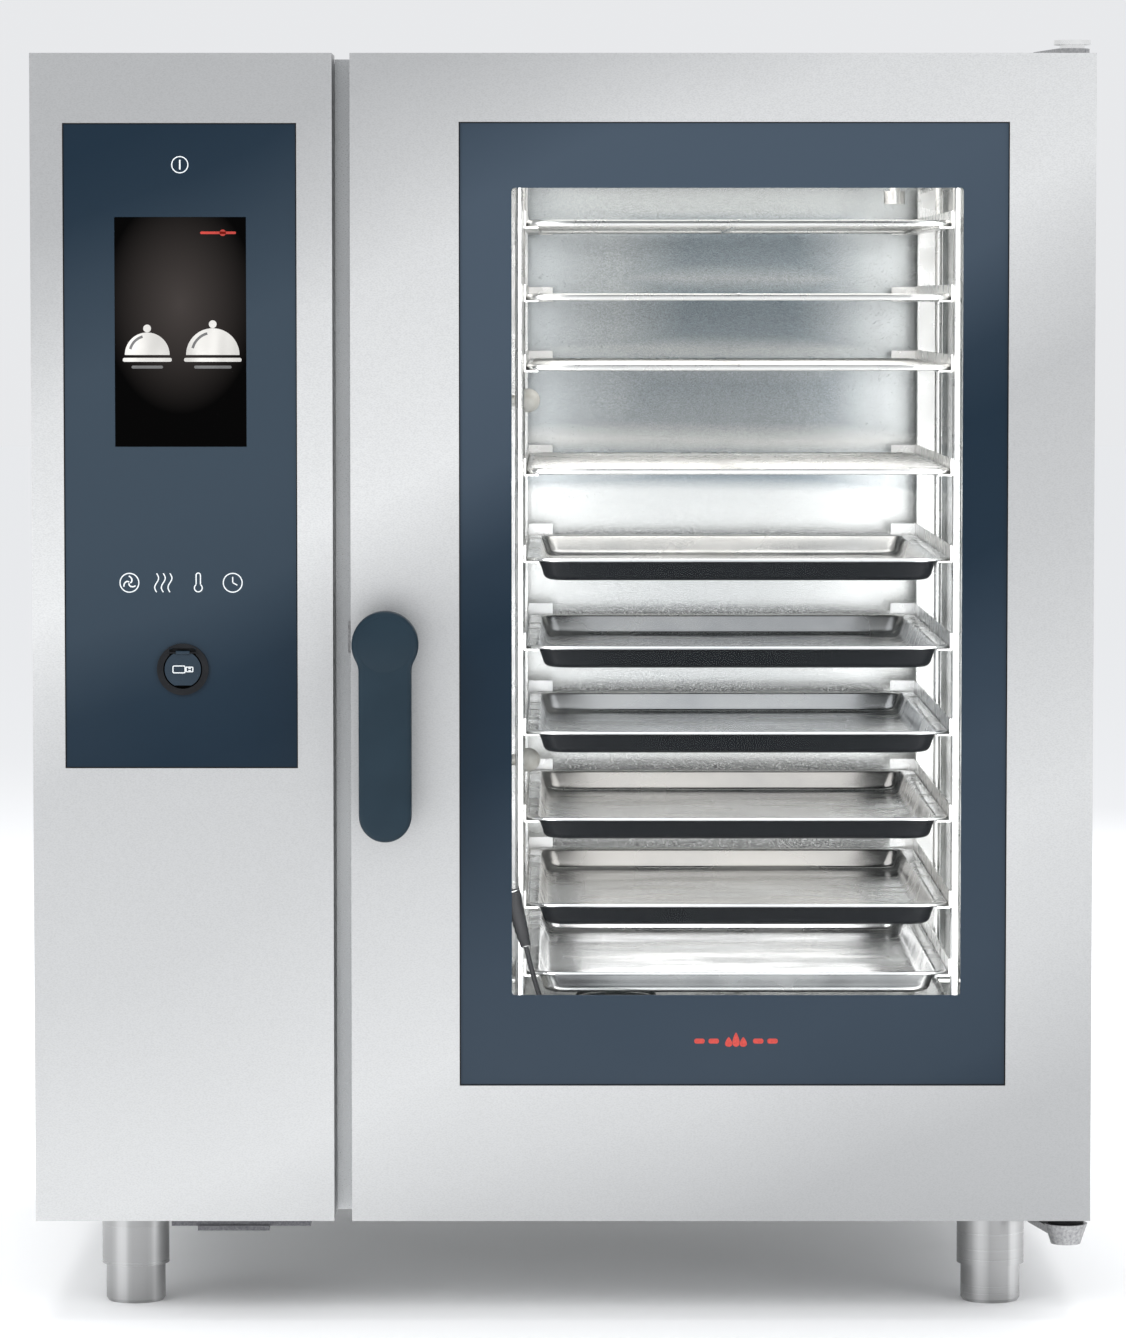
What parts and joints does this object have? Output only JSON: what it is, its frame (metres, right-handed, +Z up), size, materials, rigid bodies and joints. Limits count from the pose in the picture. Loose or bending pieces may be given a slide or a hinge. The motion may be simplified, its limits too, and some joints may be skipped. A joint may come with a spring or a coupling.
{
  "type": "combi steamer oven",
  "caption": "Floor or stand combi steamer oven: glazed right-hung door with turning handle, control column, racks with shelves and trays, fan, flue and levelling feet.",
  "frame": {"origin": "on the floor under the middle of the oven's box", "axes": "+X to the right seen from the front, +Y to the back, +Z up; the door faces -Y"},
  "size_m": [0.925, 0.912, 1.12],
  "materials": {
    "brushed_panel": "satin",
    "foot_steel": "satin",
    "cavity_steel": "satin",
    "rack_steel": "polished",
    "tray_aluminium": "satin",
    "control_glass_blue": "gloss",
    "door_glass": "gloss",
    "display_black": "gloss",
    "handle_plastic": "satin",
    "black_plastic": "matte",
    "black_silicone": "matte",
    "knob_white": "satin",
    "lamp_glass": "gloss",
    "hinge_steel": "satin",
    "bronze": "satin",
    "mineral_wool": "matte",
    "circuit_board": "satin",
    "motor_grey": "satin",
    "heater_sheath": "satin",
    "fan_steel": "satin",
    "filter_grey": "satin"
  },
  "bodies": {
    "casing": {"base_pan": "brushed_panel", "left_side_panel": "brushed_panel", "right_side_panel": "brushed_panel", "rear_panel": "brushed_panel", "roof_panel": "brushed_panel", "control_fascia": "brushed_panel", "foot_sleeves": "foot_steel", "foot_legs": "foot_steel", "front_frame": "cavity_steel", "cavity_shell": "cavity_steel", "air_baffle": "cavity_steel", "rack_left": "rack_steel", "rack_right": "rack_steel", "wire_shelf_1": "rack_steel", "wire_shelf_2": "rack_steel", "wire_shelf_3": "rack_steel", "wire_shelf_4": "rack_steel", "wash_nozzle": "rack_steel", "drain_sieve": "rack_steel", "probe_gland": "rack_steel", "latch_striker": "rack_steel", "hinge_pins": "rack_steel", "usb_hinge_pin": "rack_steel", "tray_1": "tray_aluminium", "tray_2": "tray_aluminium", "tray_3": "tray_aluminium", "tray_4": "tray_aluminium", "tray_5": "tray_aluminium", "tray_6": "tray_aluminium", "control_glass": "control_glass_blue", "display_screen": "display_black", "usb_port": "black_plastic", "cable_gland": "black_plastic", "door_gasket": "black_silicone", "probe_cable": "black_silicone", "core_probe": "black_silicone", "baffle_knobs": "knob_white", "lamp_lens": "lamp_glass", "hinge_bracket_top": "hinge_steel", "hinge_bracket_bottom": "hinge_steel", "water_valves": "bronze", "insulation": "mineral_wool", "control_board": "circuit_board", "fan_motor": "motor_grey", "heating_coils": "heater_sheath", "cavity_lamp": "fan_steel", "quench_box": "fan_steel", "exhaust_pipe": "fan_steel"},
    "door": {"door_shell": "brushed_panel", "door_liner": "cavity_steel", "door_outer_glass": "door_glass", "door_inner_glass": "door_glass", "hinge_bushes": "bronze"},
    "handle": {"handle_lever": "handle_plastic", "latch_hook": "hinge_steel"},
    "usb_flap": {"usb_cover": "handle_plastic"},
    "fan": {"fan_wheel": "fan_steel", "fan_shaft": "fan_steel"},
    "filter": {"intake_filter": "filter_grey"},
    "damper": {"steam_damper": "fan_steel"}
  },
  "joints": [
    {"name": "door_hinge", "type": "hinge", "parent": "casing", "child": "door", "pos_m": [0.4435, -0.366, 0.598], "axis": [0, 0, 1], "range_deg": [0, 130]},
    {"name": "handle_turn", "type": "hinge", "parent": "door", "child": "handle", "pos_m": [-0.1536, -0.43, 0.5976], "axis": [0, -1, 0], "range_deg": [0, 90]},
    {"name": "usb_flap_hinge", "type": "hinge", "parent": "casing", "child": "usb_flap", "pos_m": [-0.3315, -0.3946, 0.5875], "axis": [-1, 0, 0], "range_deg": [0, 95]},
    {"name": "fan_spin", "type": "hinge", "parent": "casing", "child": "fan", "pos_m": [-0.1, -0.018, 0.629], "axis": [1, 0, 0], "continuous": true},
    {"name": "filter_slide", "type": "slide", "parent": "casing", "child": "filter", "axis": [0, -1, 0], "range_m": [0, 0.18]},
    {"name": "damper_turn", "type": "hinge", "parent": "casing", "child": "damper", "pos_m": [0.3, 0.2, 1.08], "axis": [1, 0, 0], "range_deg": [0, 90]}
  ]
}
